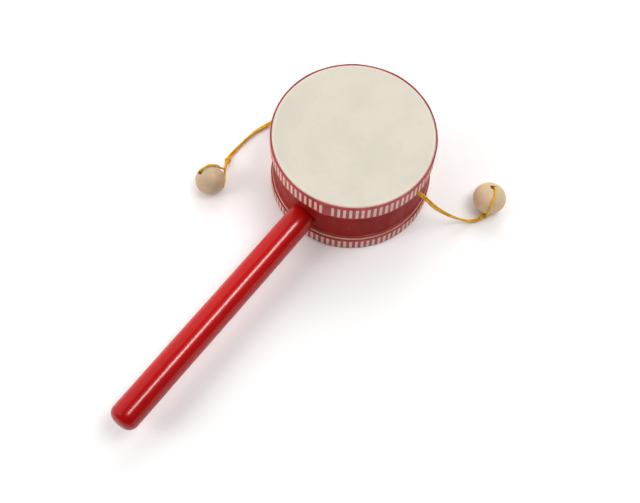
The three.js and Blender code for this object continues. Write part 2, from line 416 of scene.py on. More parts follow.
class Effect(Enum):
    """The shader node groups that several finishes share."""

    MOTTLE = "uneven_tone"
    GRAIN = "long_grain"
    SKIN = "orange_peel"

    def tree(self) -> bpy.types.NodeTree:
        """The group's node tree, built the first time it is asked for."""
        found = bpy.data.node_groups.get(self.value)
        if found is not None:
            return found
        made = bpy.data.node_groups.new(self.value, "ShaderNodeTree")
        builders = {
            Effect.MOTTLE: self._mottle,
            Effect.GRAIN: self._grain,
            Effect.SKIN: self._peel,
        }
        made.interface.new_socket("Place", in_out="INPUT", socket_type="NodeSocketVector")
        made.interface.new_socket("Scale", in_out="INPUT", socket_type="NodeSocketFloat")
        graph = Graph(made)
        given = graph.node("NodeGroupInput")
        results = builders[self](graph, given.outputs["Place"], given.outputs["Scale"])
        for name in results:
            made.interface.new_socket(name, in_out="OUTPUT", socket_type="NodeSocketFloat")
        leaving = graph.node("NodeGroupOutput")
        for name, result in results.items():
            graph.feed(leaving.inputs[name], result)
        return made

    @staticmethod
    def _mottle(graph: Graph, place: object, scale: object) -> dict[str, bpy.types.NodeSocket]:
        """Three parts of broad noise and one part of noise 5.3 times finer, from 0 to 1."""
        broad = graph.noise(place, scale, 2.0, 0.45)
        fine = graph.noise(place, graph.times(scale, 5.3), 3.0, 0.6)
        total = graph.math("MULTIPLY_ADD", fine, 0.25, graph.times(broad, 0.75))
        return {"Mask": graph.remap(total, 0.34, 0.66)}

    @staticmethod
    def _grain(graph: Graph, place: object, scale: object) -> dict[str, bpy.types.NodeSocket]:
        """Noise on a place already stretched along the wood, sharpened into fibres."""
        fibre = graph.noise(place, scale, 4.0, 0.65)
        band = graph.noise(place, graph.times(scale, 0.22), 2.0, 0.5)
        return {"Fibre": graph.remap(fibre, 0.3, 0.7), "Band": graph.remap(band, 0.35, 0.65)}

    @staticmethod
    def _peel(graph: Graph, place: object, scale: object) -> dict[str, bpy.types.NodeSocket]:
        """Two soft noises, one about three times finer, as the lie of a brushed surface."""
        broad = graph.noise(place, scale, 1.0, 0.4)
        fine = graph.noise(place, graph.times(scale, 3.1), 1.0, 0.4)
        return {"Height": graph.math("MULTIPLY_ADD", fine, 0.3, graph.times(broad, 0.7))}

    def use(self, graph: Graph, place: object, scale: float) -> bpy.types.Node:
        """Puts the group into a material.

        Args:
            graph: The material's nodes.
            place: The vector that the pattern reads.
            scale: The pattern's scale.

        Returns:
            The group node.
        """
        made = graph.node("ShaderNodeGroup", node_tree=self.tree())
        graph.fill(made, {"Place": place, "Scale": scale})
        return made


@dataclass(frozen=True)
class Finish:
    """A surface finish: a material with one Principled shader."""

    name: str

    def material(self) -> bpy.types.Material:
        """The finish's material, built the first time it is asked for."""
        found = bpy.data.materials.get(self.name)
        if found is not None:
            return found
        made = bpy.data.materials.new(self.name)
        made.use_nodes = True
        graph = Graph(made.node_tree)
        self.paint(graph, made.node_tree.nodes["Principled BSDF"])
        return made

    def paint(self, graph: Graph, shader: bpy.types.Node) -> None:
        """Joins the finish's nodes to the shader."""
        raise NotImplementedError

    def dress(self, piece: bpy.types.Object) -> None:
        """Gives a piece this finish as its only material."""
        piece.data.materials.clear()
        piece.data.materials.append(self.material())


@dataclass(frozen=True)
class Parchment(Finish):
    """Cream skin, matt, faintly mottled, with a paler rim; its skirt stained by the lacquer and
    tinted pink with painted reflected light from the red shell and tape.
    """

    base: Colour = (0.62, 0.575, 0.485)
    shade: Colour = (0.575, 0.535, 0.445)
    spot: Colour = (0.50, 0.46, 0.38)
    rim: Colour = (0.70, 0.65, 0.54)
    # skirt: a pink tint that is painted reflected light from the red shell and tape, not the skin's
    # own colour
    skirt: Colour = (0.74, 0.48, 0.37)
    stain: Colour = (0.30, 0.025, 0.02)
    rim_radius: float = 39.2 * MM
    rim_width: float = 2.2 * MM
    skirt_edge: float = 10.6 * MM
    stain_start: float = 9.1 * MM
    stain_blur: float = 0.35 * MM

    def paint(self, graph: Graph, shader: bpy.types.Node) -> None:
        """Joins the skin's nodes to the shader."""
        place = graph.own_place()
        cloud = Effect.MOTTLE.use(graph, place, 55.0).outputs["Mask"]
        tone = graph.blend(cloud, self.base, self.shade)
        fleck = graph.noise(place, 130.0, 2.0, 0.5)
        tone = graph.blend(graph.remap(fleck, 0.66, 0.8, 0.0, 0.22), tone, self.spot)
        parts = graph.node("ShaderNodeSeparateXYZ", {0: place})
        radius = graph.distance(parts.outputs[0], parts.outputs[1])
        edge = graph.remap(radius, self.rim_radius - self.rim_width, self.rim_radius, 0.0, 0.55)
        tone = graph.blend(edge, tone, self.rim)
        height = parts.outputs[2]
        low = graph.remap(height, self.skirt_edge + 1.0 * MM, self.skirt_edge)
        outside = graph.remap(radius, self.rim_radius - 1.4 * MM, self.rim_radius - 1.0 * MM)
        # Painted reflected light: the skirt's outer face is tinted pink as if lit by the red shell
        # and tape.
        tone = graph.blend(graph.times(low, outside), tone, self.skirt)
        smear = graph.math("MULTIPLY_ADD", graph.noise(place, 300.0, 2.0, 0.5), 0.6 * MM, height)
        stained = graph.remap(smear, self.stain_start, self.stain_start + self.stain_blur)
        stained = graph.times(stained, graph.times(low, outside))
        tone = graph.blend(stained, tone, self.stain)
        peel = Effect.SKIN.use(graph, place, 900.0).outputs["Height"]
        graph.fill(shader, {
            "Base Color": tone,
            "Roughness": graph.remap(cloud, 0.0, 1.0, 0.5, 0.62),
            "Normal": graph.bump(peel, 0.06 * MM),
            "Specular IOR Level": 0.35,
        })


@dataclass(frozen=True)
class StripedTape(Finish):
    """Woven red tape with short upright white bars between two red borders."""

    bar_low: float
    bar_high: float
    last_bar: float
    bar_pitch: float = 2.856
    bar_width: float = 1.36
    bar_corner: float = 0.5
    first_bar: float = 1.5
    red: Colour = (0.50, 0.030, 0.038)
    dark_red: Colour = (0.33, 0.016, 0.022)
    white: Colour = (0.78, 0.58, 0.46)
    worn: Colour = (0.66, 0.33, 0.31)

    def paint(self, graph: Graph, shader: bpy.types.Node) -> None:
        """Joins the tape's nodes to the shader."""
        around, up, pair = graph.unrolled()
        counted = graph.math("DIVIDE", graph.less(around, self.first_bar), self.bar_pitch)
        after = graph.math("GREATER_THAN", around, self.first_bar)
        before = graph.math("LESS_THAN", around, self.last_bar)
        bar = graph.times(self._bars(graph, counted, up, pair), graph.times(after, before))
        cloud = Effect.MOTTLE.use(graph, graph.own_place(), 220.0).outputs["Mask"]
        ground = graph.blend(cloud, self.red, self.dark_red)
        dash = graph.math("COSINE", graph.times(counted, 2 * math.pi))
        in_border = graph.remap(up, self.bar_high, self.bar_high + 0.4)
        dash = graph.times(graph.remap(dash, 0.0, 1.0, 0.0, 0.6), in_border)
        ground = graph.blend(dash, ground, self.dark_red)
        thread = graph.noise(graph.stretched(pair, (5.0, 0.6, 1.0)), 1.6, 2.0, 0.6)
        pale = graph.blend(graph.remap(thread, 0.35, 0.75, 0.0, 0.4), self.white, self.worn)
        weave = graph.times(self._weave(graph, pair), 0.5)
        raised = graph.math("MULTIPLY_ADD", bar, 0.9, weave)
        graph.fill(shader, {
            "Base Color": graph.blend(bar, ground, pale),
            "Roughness": graph.remap(bar, 0.0, 1.0, 0.48, 0.6),
            "Normal": graph.bump(raised, 0.07 * MM),
        })

    def _bars(
        self,
        graph: Graph,
        counted: bpy.types.NodeSocket,
        up: bpy.types.NodeSocket,
        pair: bpy.types.NodeSocket,
    ) -> bpy.types.NodeSocket:
        """The mask of the white bars, with frayed edges and each a little off its place.

        A bar is a rounded box: the distance to it is the length of what lies beyond its
        half sizes, less its corner radius.

        Args:
            graph: The material's nodes.
            counted: The distance round the tape, counted in bars.
            up: The height on the tape in millimetres.
            pair: The place on the unrolled tape in millimetres.

        Returns:
            The mask, from 0 to 1.
        """
        number = graph.math("FLOOR", counted)
        uneven = graph.node("ShaderNodeTexWhiteNoise", {"W": number}, noise_dimensions="1D")
        offset = graph.less(graph.math("FRACT", counted), 0.5)
        wobble = graph.times(graph.less(uneven.outputs["Value"], 0.5), 0.07)
        sideways = graph.math("ABSOLUTE", graph.times(graph.plus(offset, wobble), self.bar_pitch))
        middle = (self.bar_low + self.bar_high) / 2
        lengthways = graph.math("ABSOLUTE", graph.less(up, middle))
        half_width = self.bar_width / 2 - self.bar_corner
        half_length = (self.bar_high - self.bar_low) / 2 - self.bar_corner
        beyond = (
            graph.math("MAXIMUM", graph.less(reach, half), 0.0)
            for reach, half in ((sideways, half_width), (lengthways, half_length))
        )
        frayed = graph.times(graph.less(graph.noise(pair, 2.4, 3.0, 0.6), 0.5), 0.34)
        distance = graph.plus(graph.less(graph.distance(*beyond), self.bar_corner), frayed)
        return graph.remap(distance, 0.12, -0.1)

    @staticmethod
    def _weave(graph: Graph, pair: bpy.types.NodeSocket) -> bpy.types.NodeSocket:
        """The tape's warp and weft: the higher of two waves across each other."""
        threads = []
        for direction, scale in (("X", 0.9), ("Y", 0.7)):
            given = {"Vector": pair, "Scale": scale, "Distortion": 0.4}
            wave = graph.node("ShaderNodeTexWave", given, bands_direction=direction)
            threads.append(wave.outputs["Fac"])
        return graph.math("MAXIMUM", *threads)


@dataclass(frozen=True)
class Lacquer(Finish):
    """Lacquer brushed over turned wood, with the grain showing faintly through."""

    base: Colour
    deep: Colour
    roughness: float
    coat: float
    sheen: float
    stretch: Point
    peel_depth: float = 0.05 * MM
    grain_depth: float = 0.03 * MM
    ring_depth: float = 0.0
    scuff: Colour = (0.7, 0.4, 0.36)
    scuff_amount: float = 0.0
    coat_roughness: float = 0.18

    def paint(self, graph: Graph, shader: bpy.types.Node) -> None:
        """Joins the lacquer's nodes to the shader."""
        place = graph.own_place()
        along = graph.stretched(place, self.stretch)
        grain = Effect.GRAIN.use(graph, along, 260.0)
        cloud = Effect.MOTTLE.use(graph, along, 60.0).outputs["Mask"]
        tone = graph.blend(cloud, self.base, self.deep)
        tone = graph.blend(graph.times(grain.outputs["Band"], 0.25), tone, self.deep)
        slanted = graph.stretched(place, (1.0, 1.0, 0.35), (0.3, 0.5, 0.2))
        scratch = graph.noise(slanted, 420.0, 2.0, 0.7)
        worn = graph.remap(scratch, 0.72, 0.78, 0.0, self.scuff_amount)
        least, most = self.roughness - 0.05, self.roughness + 0.09
        peel = Effect.SKIN.use(graph, place, 420.0).outputs["Height"]
        normal = graph.bump(peel, self.peel_depth)
        normal = graph.bump(grain.outputs["Fibre"], self.grain_depth, normal)
        if self.ring_depth:
            rings = graph.noise(graph.stretched(place, (0.25, 1.0, 0.25)), 900.0, 2.0, 0.6)
            normal = graph.bump(rings, self.ring_depth, normal)
        graph.fill(shader, {
            "Base Color": graph.blend(worn, tone, self.scuff),
            "Roughness": graph.remap(grain.outputs["Fibre"], 0.0, 1.0, least, most),
            "Normal": normal,
            "Specular IOR Level": self.sheen,
            "Coat Weight": self.coat,
            "Coat Roughness": self.coat_roughness,
        })


@dataclass(frozen=True)
class WaxedThread(Finish):
    """Twisted yellow thread rubbed with wax."""

    light: Colour = (0.88, 0.52, 0.02)
    dark: Colour = (0.64, 0.30, 0.006)

    def paint(self, graph: Graph, shader: bpy.types.Node) -> None:
        """Joins the thread's nodes to the shader: fine fibres wound round each ply."""
        around, along, _ = graph.unrolled()
        wound = graph.plus(graph.times(around, 3.2), graph.times(along, 2.6))
        fibre = graph.remap(graph.math("SINE", graph.times(wound, 2.0)), -1.0, 1.0)
        cloud = Effect.MOTTLE.use(graph, graph.own_place(), 380.0).outputs["Mask"]
        tone = graph.blend(cloud, self.light, self.dark)
        graph.fill(shader, {
            "Base Color": graph.blend(graph.times(fibre, 0.3), tone, self.dark),
            "Roughness": graph.remap(cloud, 0.0, 1.0, 0.38, 0.52),
            "Normal": graph.bump(fibre, 0.04 * MM),
            "Specular IOR Level": 0.25,
        })


@dataclass(frozen=True)
class BareWood(Finish):
    """Pale turned wood with fine fibres, pink and green casts, a few dark pores and painted shade
    inside the bore.
    """

    base: Colour = (0.61, 0.42, 0.27)
    cool: Colour = (0.47, 0.375, 0.235)
    rosy: Colour = (0.63, 0.36, 0.24)
    pore_and_bore_shade: Colour = (0.25, 0.125, 0.07)
    along: Point = (1.0, 1.0, 0.2)

    def paint(self, graph: Graph, shader: bpy.types.Node) -> None:
        """Joins the wood's nodes to the shader."""
        place = graph.own_place()
        lengthways = graph.stretched(place, self.along)
        grain = Effect.GRAIN.use(graph, lengthways, 700.0)
        cloud = Effect.MOTTLE.use(graph, place, 110.0).outputs["Mask"]
        blush = graph.remap(graph.noise(place, 160.0, 2.0, 0.5), 0.45, 0.68)
        tone = graph.blend(cloud, self.base, self.cool)
        tone = graph.blend(graph.times(blush, 0.6), tone, self.rosy)
        tone = graph.blend(graph.times(grain.outputs["Band"], 0.3), tone, self.cool)
        pores = graph.remap(graph.noise(place, 480.0, 2.0, 0.6), 0.7, 0.8, 0.0, 0.55)
        tone = graph.blend(pores, tone, self.pore_and_bore_shade)
        # Painted shade: the bore's inside faces are darkened towards the pore colour.
        inside = graph.remap(graph.unrolled()[1], 0.0, 0.9, 0.0, 0.7)
        height = graph.less(grain.outputs["Fibre"], pores)
        graph.fill(shader, {
            "Base Color": graph.blend(inside, tone, self.pore_and_bore_shade),
            "Roughness": graph.remap(grain.outputs["Fibre"], 0.0, 1.0, 0.5, 0.68),
            "Normal": graph.bump(height, 0.04 * MM),
        })


@dataclass(frozen=True)
class PaleFloor(Finish):
    """A plain pale matt floor."""

    tone: Colour = (0.96, 0.96, 0.955)

    def paint(self, graph: Graph, shader: bpy.types.Node) -> None:
        """Joins a barely uneven tone to the shader."""
        cloud = Effect.MOTTLE.use(graph, graph.own_place(), 3.0).outputs["Mask"]
        low = tuple(0.99 * part for part in self.tone)
        tone = graph.blend(cloud, self.tone, low)
        graph.fill(shader, {"Base Color": tone, "Roughness": 0.9, "Specular IOR Level": 0.1})


SKIN = Parchment("parchment")
SHELL_LACQUER = Lacquer(
    "dark_red_lacquer",
    base=(0.35, 0.015, 0.010),
    deep=(0.25, 0.009, 0.006),
    roughness=0.42,
    coat=0.02,
    sheen=0.04,
    stretch=(1.0, 1.0, 0.25),
    scuff_amount=0.5,
)
HANDLE_LACQUER = Lacquer(
    "bright_red_lacquer",
    base=(0.47, 0.005, 0.004),
    deep=(0.36, 0.002, 0.003),
    roughness=0.30,
    coat=0.5,
    sheen=0.06,
    stretch=(1.0, 0.12, 1.0),
    peel_depth=0.10 * MM,
    grain_depth=0.05 * MM,
    ring_depth=0.06 * MM,
)
THREAD = WaxedThread("waxed_thread")
GREY_WOOD = BareWood("greyish_bead_wood")
WARM_WOOD = BareWood(
    "warm_bead_wood",
    base=(0.75, 0.525, 0.335),
    cool=(0.61, 0.48, 0.285),
    rosy=(0.79, 0.455, 0.285),
)


def settle(piece: bpy.types.Object, finish: Finish, node: str) -> bpy.types.Object:
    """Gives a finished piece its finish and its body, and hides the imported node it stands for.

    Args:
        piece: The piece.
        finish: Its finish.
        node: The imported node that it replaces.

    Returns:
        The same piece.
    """
    finish.dress(piece)
    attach(piece, "root")
    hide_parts(node)
    LOG.info("%s: %d faces", piece.name, len(piece.data.polygons))
    return piece


# The drum


@dataclass
class Shell:
    """The lacquered wooden ring, pierced for the handle's tenon and the two cords."""

    wall: float = 5 * MM
    fill: float = 0.15 * MM
    columns: int = 288
    rows: int = 44
    tenon_diameter: float = 11.4 * MM
    cord_hole_diameter: float = 3.2 * MM
    cord_height: float = 27.3 * MM
    cord_setback: float = 1 * MM
    hole_edge: float = 0.3 * MM
    window_margin: float = 0.9 * MM
    seam: float = -np.pi / 4

    def build(self) -> bpy.types.Object:
        """Builds and dresses the ring, with the grid's seam clear of every hole.

        Returns:
            The shell piece.
        """
        low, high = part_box("shell")
        handle_low, handle_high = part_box("handle")
        outer, inner = high.x + self.fill, high.x - self.wall
        cord_turn = self.cord_setback / outer
        angles = self.seam + np.linspace(0.0, 2 * np.pi, self.columns + 1)
        heights = np.linspace(low.z, high.z, self.rows + 1)
        handle_height = (handle_low.z + handle_high.z) / 2
        holes = [
            (3 * np.pi / 2, handle_height, self.tenon_diameter / 2),
            (cord_turn, self.cord_height, self.cord_hole_diameter / 2),
            (np.pi - cord_turn, self.cord_height, self.cord_hole_diameter / 2),
        ]
        cut = np.zeros((self.rows, self.columns), dtype=bool)
        patches = []
        for angle, height, radius in holes:
            margin = radius + self.window_margin
            columns = self._span(angles, angle, margin / outer)
            rows = self._span(heights, height, margin)
            cut[rows[0]:rows[1], columns[0]:columns[1]] = True
            edge = self._window(angles, heights, columns, rows)
            patches.append(self._bore(edge, angle, height, radius, outer, inner))
        for radius in (outer, inner):
            patches.append(self._wall(angles, heights, radius, cut))
        for height in (low.z, high.z):
            level = np.full_like(angles, height)
            ring = np.stack([self._on_wall(angles, level, radius) for radius in (inner, outer)])
            patches.append(Patch(ring, ring[..., :2] / MM))
        piece = make_piece("wooden_shell", patches)
        return settle(piece, SHELL_LACQUER, "shell")

    @staticmethod
    def _span(stations: np.ndarray, centre: float, margin: float) -> tuple[int, int]:
        """The first and last grid line that hold a stretch about a centre."""
        first = int(np.searchsorted(stations, centre - margin)) - 1
        last = int(np.searchsorted(stations, centre + margin))
        return first, last

    @staticmethod
    def _on_wall(angle: np.ndarray, height: np.ndarray, radius: float) -> np.ndarray:
        """Points of the round wall: (radius cos, radius sin, height)."""
        return np.stack([radius * np.cos(angle), radius * np.sin(angle), height], axis=-1)

    def _wall(self, angles: np.ndarray, heights: np.ndarray, radius: float, cut: np.ndarray) -> Patch:
        """One face of the wall, without the faces that the bores take."""
        turn, level = np.meshgrid(angles, heights)
        places = np.stack([turn * radius, level], axis=-1) / MM
        return Patch(self._on_wall(turn, level, radius), places, cut)

    @staticmethod
    def _window(
        angles: np.ndarray, heights: np.ndarray, columns: tuple[int, int], rows: tuple[int, int]
    ) -> np.ndarray:
        """The grid points round a rectangular window, as closed (angle, height) pairs."""
        across, upward = np.arange(*columns), np.arange(*rows)
        left, right = (0 * upward + side for side in columns)
        low, high = (0 * across + side for side in rows)
        i = np.concatenate([across, right, across[::-1] + 1, left, columns[:1]])
        j = np.concatenate([low, upward, high, upward[::-1] + 1, rows[:1]])
        return np.stack([angles[i], heights[j]], axis=-1)

    def _bore(
        self,
        edge: np.ndarray,
        angle: float,
        height: float,
        radius: float,
        outer: float,
        inner: float,
    ) -> Patch:
        """A round bore from a window in the outer face to the same window in the inner one.

        Args:
            edge: The window's (angle, height) pairs.
            angle: The bore's angle round the drum.
            height: The bore's height.
            radius: The bore's radius.
            outer: The wall's outer radius.
            inner: The wall's inner radius.

        Returns:
            The surface between the two windows, through the bore.
        """
        heading = np.arctan2(edge[:, 1] - height, outer * (edge[:, 0] - angle))
        out = np.array([np.cos(angle), np.sin(angle), 0.0])
        along = np.array([-np.sin(angle), np.cos(angle), 0.0])

        def ring(size: float, wall: float, sunk: float) -> np.ndarray:
            """A circle about the bore's axis, on the wall or sunk below it."""
            sideways = size * np.cos(heading)
            depth = np.sqrt(wall**2 - sideways**2) - sunk
            flat = depth[:, None] * out + sideways[:, None] * along
            return flat + (height + size * np.sin(heading))[:, None] * np.array([0.0, 0.0, 1.0])

        def towards(wall: float) -> list[np.ndarray]:
            """Rows on the wall from the window in to the bore's mouth."""
            start = self._on_wall(edge[:, 0], edge[:, 1], wall)
            stop = ring(radius + self.hole_edge, wall, 0.0)
            rows = [start]
            for share in (0.35, 0.7, 1.0):
                mixed = start + (stop - start) * share
                mixed[:, :2] *= wall / np.linalg.norm(mixed[:, :2], axis=1, keepdims=True)
                rows.append(mixed)
            return rows

        broken = 0.3 * self.hole_edge
        bore = [
            ring(radius + broken, outer, broken),
            ring(radius, outer, self.hole_edge),
            ring(radius, inner, -self.hole_edge),
        ]
        points = np.stack(towards(outer) + bore + towards(inner)[::-1])
        return Patch(points, points[..., :2] / MM)


@dataclass
class Head:
    """A skin drawn over one end of the drum, its skirt cut a little unevenly.

    The shares are parts of the skirt's height, from the flat face down. The nick is given by
    the angles where it starts, is deepest and stops.
    """

    end: End
    thickness: float = 0.6 * MM
    fill: float = 0.15 * MM
    rounding: float = 1.1 * MM
    columns: int = 288
    loose_share: tuple[float, float] = (0.35, 1.0)
    glued_share: tuple[float, float] = (0.72, 0.95)
    nick: Point = (5.64, 5.68, 6.0)
    nick_depth: float = 0.28 * MM
    drawn_in: float = 0.28 * MM
    thinned: float = 0.26 * MM
    trimmed: float = 0.2 * MM

    def profile(self, radius: float, skirt: float) -> np.ndarray:
        """The skin's outline facing up, with its flat face at height zero.

        Args:
            radius: The skirt's outer radius.
            skirt: The skirt's height.

        Returns:
            (radius, height) pairs from the inner face's middle to the outer face's middle.
        """
        inside = radius - self.thickness
        bend = self.rounding
        inner_bend = bend - self.thickness
        lip = self.thickness / 2
        under, cut = -self.thickness, lip - skirt
        return np.concatenate([
            np.linspace((0.0, under), (inside - inner_bend, under), 12)[:-1],
            arc((inside - inner_bend, -bend), inner_bend, 90, 0, 4),
            np.linspace((inside, -bend), (inside, cut), 8)[1:-1],
            arc((radius - lip, cut), lip, -180, 0, 6),
            np.linspace((radius, cut), (radius, -bend), 8)[1:-1],
            arc((radius - bend, -bend), bend, 0, 90, 8),
            np.linspace((radius - bend, 0.0), (0.0, 0.0), 24)[1:],
        ])

    def build(self) -> bpy.types.Object:
        """Builds and dresses the skin.

        Returns:
            The skin piece.
        """
        node = f"{self.end.word}_head"
        low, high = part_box(node)
        skirt = high.z - low.z
        radius = high.x + self.fill
        inside = radius - self.thickness
        profile = self.profile(radius, skirt)
        drawn = -profile[:, 1] / skirt

        def shift(turn: np.ndarray, place: np.ndarray) -> tuple[np.ndarray, np.ndarray]:
            """Draws the skirt's free edge in, and lets it wander, most where a nick is cut."""
            share = smooth_step(drawn[place], *self.loose_share)
            wander = ripple(turn, ((3, 0.12 * MM, 0.4), (7, 0.08 * MM, 1.9), (13, 0.05 * MM, 0.7)))
            start, top, stop = self.nick
            nick = smooth_step(turn, start, top) - smooth_step(turn, top, stop)
            glued = smooth_step(drawn[place], *self.glued_share)
            outward = (profile[place, 0] - inside) / self.thickness
            inward = -glued * (self.drawn_in + self.thinned * outward)
            return inward, share * (wander + self.nick_depth * nick - self.trimmed)

        patch = revolve(profile, self.columns, 0.0, shift)
        base = high.z if self.end is End.UPPER else low.z
        patch.points[..., 2] = base + self.end.value * patch.points[..., 2]
        piece = make_piece(f"{self.end.word}_skin", [patch])
        return settle(piece, SKIN, node)


@dataclass
class Tape:
    """A tape wound round one rim, its end lapped over its start.

    The bars' ends and the plain stretch after the last bar are in the finish's millimetres.
    """

    end: End
    seam_degrees: float
    bar_high: float
    bar_low: float = 0.9
    thickness: float = 0.72 * MM
    edge: float = 0.22 * MM
    columns: int = 720
    lap_length: float = 3.4 * MM
    lap_slope: float = 1.2 * MM
    lap_edge: float = 0.18 * MM
    lap_height: float = 0.28 * MM
    sunk: float = 0.1 * MM
    plain_end: float = 1.3

    def build(self) -> bpy.types.Object:
        """Builds and dresses the tape.

        Returns:
            The tape piece.
        """
        node = f"{self.end.word}_tape"
        low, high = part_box(node)
        radius, edge = high.x, self.edge
        inside = radius - self.thickness
        profile = np.concatenate([
            arc((radius - edge, low.z + edge), edge, -90, 0, 4),
            np.linspace((radius, low.z + edge), (radius, high.z - edge), 9)[1:-1],
            arc((radius - edge, high.z - edge), edge, 0, 90, 4),
            np.array([[inside, high.z], [inside, low.z], [radius - edge, low.z]]),
        ])
        start = math.radians(self.seam_degrees - 90.0)
        face = np.where(profile[:, 0] > inside + self.thickness / 2, 1.0, 0.0)
        level = (profile[:, 1] - low.z) / (high.z - low.z)

        def shift(turn: np.ndarray, place: np.ndarray) -> tuple[np.ndarray, np.ndarray]:
            """Raises the lap before the seam and lets the tape's surface and edges wander."""
            run = (2 * np.pi + start - turn) * radius
            lap = smooth_step(run, self.lap_length + self.lap_slope, self.lap_length)
            lap = lap * self.lap_height * smooth_step(run, 0.0, self.lap_edge)
            slack = ripple(turn, ((5, 0.05 * MM, 0.3), (11, 0.04 * MM, 2.0), (23, 0.025 * MM, 1.1)))
            out = face[place] * (lap + slack - self.sunk)
            edges = ripple(turn, ((4, 0.07 * MM, 1.3), (9, 0.05 * MM, 0.2), (17, 0.03 * MM, 2.5)))
            return out, edges * (level[place] - 0.5)

        patch = revolve(profile, self.columns, start, shift)
        rim = low.z if self.end is End.UPPER else high.z
        patch.unrolled[..., 1] = self.end.value * (patch.points[..., 2] - rim) / MM
        finish = StripedTape(
            f"{self.end.word}_striped_tape",
            bar_low=self.bar_low,
            bar_high=self.bar_high,
            last_bar=2 * math.pi * radius / MM - self.plain_end,
        )
        piece = make_piece(f"{self.end.word}_rim_tape", [patch])
        return settle(piece, finish, node)


@dataclass
class Handle:
    """The turned handle, its shoulder hollowed against the shell and a tenon beyond it."""

    shell_radius: float = 38.45 * MM
    seat_gap: float = 0.05 * MM
    end_diameter: float = 14.2 * MM
    neck_diameter: float = 13.9 * MM
    dome_length: float = 5.6 * MM
    dome_fullness: float = 2.5
    shoulder_length: float = 8 * MM
    shoulder_diameter: float = 12.4 * MM
    tenon_diameter: float = 11 * MM
    columns: int = 96

    def outline(self, length: float) -> np.ndarray:
        """A superellipse dome, a straight taper and an elliptical shoulder.

        Args:
            length: The handle's length without its tenon.

        Returns:
            (radius, distance from the handle's end) pairs.
        """
        quarter = np.linspace(0.0, np.pi / 2, 25)
        power = 2 / self.dome_fullness
        rise = self.end_diameter / 2 * np.sin(quarter) ** power
        dome = np.stack([rise, self.dome_length * (1 - np.cos(quarter) ** power)], axis=-1)
        plain = np.linspace(self.dome_length, length - self.shoulder_length, 120)[1:-1]
        share = (plain - self.dome_length) / (length - self.dome_length - self.shoulder_length)
        taper = self.end_diameter + (self.neck_diameter - self.end_diameter) * share
        drop = (self.neck_diameter - self.shoulder_diameter) / 2
        shoulder = np.stack([
            self.shoulder_diameter / 2 + drop * np.cos(quarter),
            length - self.shoulder_length * (1 - np.sin(quarter)),
        ], axis=-1)
        return np.concatenate([dome, np.stack([taper / 2, plain], axis=-1), shoulder])

    def build(self) -> bpy.types.Object:
        """Builds and dresses the handle.

        Returns:
            The handle piece.
        """
        low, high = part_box("handle")
        middle = (low.z + high.z) / 2
        length = -low.y - self.shell_radius
        profile = self.outline(length)
        angle = np.linspace(0.0, 2 * np.pi, self.columns + 1)
        turn, place = np.meshgrid(angle, np.arange(len(profile)))
        radius, run = profile[place, 0], profile[place, 1]
        sway = ripple(run / length * 2 * np.pi, ((1, 0.05 * MM, 0.6), (3, 0.03 * MM, 2.0)))
        radius = radius * (1 + sway / self.end_diameter * np.sin(turn - 0.6))
        across = radius * np.cos(turn)
        seat = np.sqrt((self.shell_radius + self.seat_gap) ** 2 - across**2)
        fall = smooth_step(run, length - self.shoulder_length, length)
        depth = -low.y - run
        y = -(depth + (seat - self.shell_radius) * fall)
        points = np.stack([across, y, middle + radius * np.sin(turn)], axis=-1)
        unrolled = np.stack([turn * self.end_diameter / 2, run], axis=-1) / MM
        tenon = self._tenon(angle, points[-1], middle, -high.y)
        piece = make_piece("turned_handle", [Patch(points, unrolled), tenon])
        return settle(piece, HANDLE_LACQUER, "handle")

    def _tenon(self, angle: np.ndarray, seat: np.ndarray, middle: float, end: float) -> Patch:
        """The tenon from the shoulder's hollowed face to its own flat end.

        Args:
            angle: The angles round the handle.
            seat: The shoulder's last ring of points.
            middle: The handle's height.
            end: The tenon end's distance in front of the drum's axis.

        Returns:
            The surface from the shoulder's edge to the middle of the tenon's end.
        """
        radius = self.tenon_diameter / 2
        across, upward = radius * np.cos(angle), middle + radius * np.sin(angle)
        start = -np.sqrt((self.shell_radius + self.seat_gap) ** 2 - across**2)
        flat = np.full_like(across, -end)
        rows = [
            seat,
            np.stack([across, start, upward], axis=-1),
            np.stack([across, flat, upward], axis=-1),
            np.stack([0 * across, flat, 0 * upward + middle], axis=-1),
        ]
        points = np.stack(rows)
        return Patch(points, points[..., :2] / MM)


# The strikers


